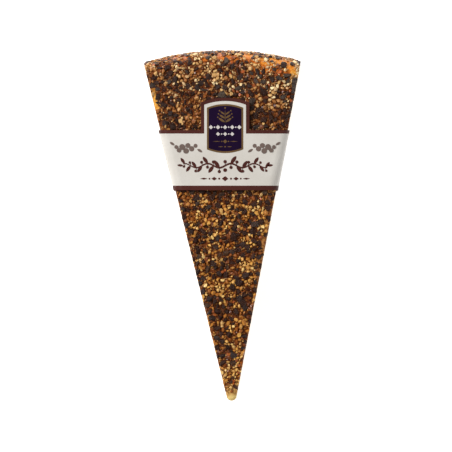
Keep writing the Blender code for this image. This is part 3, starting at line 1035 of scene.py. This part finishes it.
bunches = []
for side in (-1, 1):
    for step, (u, v, size) in enumerate(BUNCH_CORNS):
        place = (side * (BUNCH_SIDE + u), BUNCH_HEIGHT + v)
        bunches.append(stamp(ringed_corn, *place, 0, size, 1.0, step * INK * 1.5))
    for u, v, turn, size in BUNCH_LEAVES:
        place = (side * (BUNCH_SIDE + u), BUNCH_HEIGHT + v)
        bunches.append(stamp(leaf, *place, turn if side > 0 else math.pi - turn, size))
corn_line = board_finish("taupe_ink_line", (0.14, 0.100, 0.084), (0.17, 0.12, 0.10), Specular_IOR_Level=0.2)
corn_fill = board_finish("taupe_ink", (0.44, 0.38, 0.335), (0.49, 0.42, 0.375), Specular_IOR_Level=0.3)
print_together("label_corn_bunches", bunches, 0, (corn_line, corn_fill))

SPRIG_MIDDLE = 25.0
SPRIG_TOP = 27.8
SPRIG_LEAVES = ((23.0, 2.5), (24.3, 2.2), (25.6, 1.8))
SPRIG_LEAN = 0.6
UPPER_RULE = 16.5
LOWER_RULE = 14.7

sprig = [stamp(lozenge, 0, SPRIG_MIDDLE, math.pi / 2, 5.0, 0.06)]
for v, size in SPRIG_LEAVES:
    for side in (-1, 1):
        lean = SPRIG_LEAN if side > 0 else math.pi - SPRIG_LEAN
        sprig.append(stamp(leaf, side * 0.12, v, lean, size, 0.7, OVER_STALK))
        sprig.append(stamp(corn, side * (size * 0.83 + 0.42), v + size * 0.56 + 0.28, 0, 0.5))
sprig.append(stamp(corn, 0, SPRIG_TOP, 0, 0.6))
for side in (-1, 1):
    sprig.append(stamp(lozenge, side * 2.9, UPPER_RULE, 0, 2.8, 0.10))
    sprig.append(stamp(corn, side * 1.1, UPPER_RULE, 0, 0.45))
    sprig.append(stamp(lozenge, side * 1.5, LOWER_RULE, 0, 1.9, 0.16))
sprig.append(stamp(lozenge, 0, UPPER_RULE, 0, 1.4))
sprig.append(stamp(corn, 0, LOWER_RULE, 0, 0.5))
print_together("label_sprig", sprig, 1, (bronze_ink,))

STUD_ROWS = ((21.3, 4, 1.45), (19.0, 2, 1.35))
STUD_STEP = 1.2
STUD_BEAD = 0.36

studs = []
for v, spots, size in STUD_ROWS:
    for i in range(-spots, spots + 1):
        kind = lozenge if i % 2 == 0 else corn
        studs.append(stamp(kind, i * STUD_STEP, v, 0, size if i % 2 == 0 else size * STUD_BEAD))
cream_ink = board_finish("cream_ink", (0.60, 0.55, 0.52), (0.68, 0.63, 0.60), Specular_IOR_Level=0.3)
print_together("label_lozenges", studs, 1, (cream_ink,))
for shape in (leaf, corn, lozenge, ringed_corn, stalk):
    bpy.data.objects.remove(shape, do_unlink=True)

# Stage: a plain white table, lit by a soft lamp at the upper left, a weaker one at the right and an even
# white room, with the camera straight above the wedge. None of it belongs to the part.

CAMERA_HEIGHT = 1.50
CAMERA_OFFSET = Vector((-0.0021, 0.0654, 0))
VIEW_WIDTH = 0.153
ROOM_LIGHT = 0.30
LAMPS = (("key", (-0.60, 0.40, 0.70), 0.45, 9.4), ("fill", (0.7, -0.2, 0.6), 0.8, 1.5))

bpy.ops.object.select_all(action="DESELECT")
bpy.ops.mesh.primitive_plane_add(size=4)
table = bpy.context.object
table.name = "table"
white, tree, shader = new_finish("white_table", Emission_Strength=0.7)
mask, place = grained(tree, shader, 60.0, 0.00002, 0.6, 0.7)
tree.links.new(ramp(tree, mask, [(0.0, (0.88, 0.88, 0.88)), (1.0, (0.90, 0.90, 0.90))]), shader["Base Color"])
shader["Emission Color"].default_value = (1, 1, 1, 1)
table.data.materials.append(white)

world = bpy.data.worlds.new("studio")
world.use_nodes = True
room = world.node_tree.nodes["Background"].inputs
room["Color"].default_value = (1, 1, 1, 1)
room["Strength"].default_value = ROOM_LIGHT
bpy.context.scene.world = world

for name, spot, size, power in LAMPS:
    bpy.ops.object.light_add(type="AREA", location=spot)
    lamp = bpy.context.object
    lamp.name = name
    lamp.data.size = size
    lamp.data.energy = power
    lamp.rotation_euler = (-Vector(spot)).to_track_quat("-Z", "Y").to_euler()

bpy.ops.object.camera_add(location=apex + CAMERA_OFFSET + Vector((0, 0, CAMERA_HEIGHT)))
camera = bpy.context.object
camera.data.lens = camera.data.sensor_width * (CAMERA_HEIGHT - COAT_TOP) / VIEW_WIDTH
camera.data.clip_end = 10
bpy.context.scene.camera = camera
bpy.context.scene.view_settings.view_transform = "Standard"
